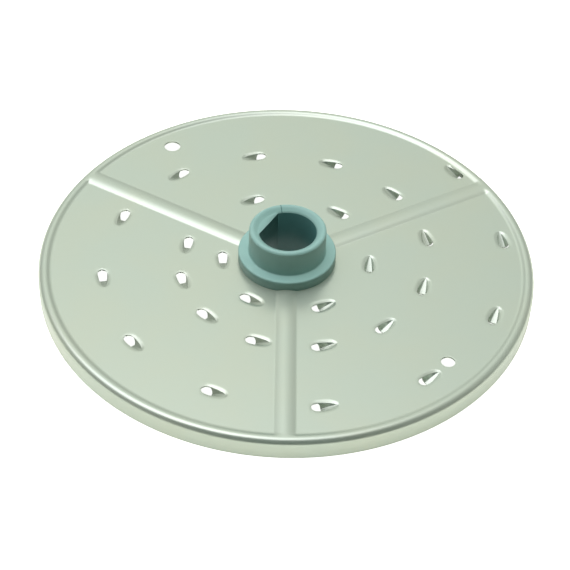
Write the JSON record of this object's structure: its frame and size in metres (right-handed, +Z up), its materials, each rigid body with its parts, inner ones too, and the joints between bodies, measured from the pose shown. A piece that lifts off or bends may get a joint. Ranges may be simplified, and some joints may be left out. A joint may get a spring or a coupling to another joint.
{
  "type": "food processor grating disc",
  "caption": "Round pressed steel grating disc with a rolled-down rim, raised ribs, drop-shaped teeth on a spiral and a moulded hub with a D-shaped bore.",
  "frame": {"origin": "on the disc's axis, in the plane of the skirt's lower edge that the disc rests on", "axes": "+Z up along the disc's axis, towards the collar of the hub; one rib runs out along -Y"},
  "size_m": [0.175, 0.175, 0.0205],
  "materials": {
    "stainless_sheet": "polished sheet, pressed and pierced",
    "hub_plastic": "moulded, fine matt"
  },
  "bodies": {
    "root": {"grating_plate": "stainless_sheet", "drive_hub": "hub_plastic"}
  },
  "joints": []
}
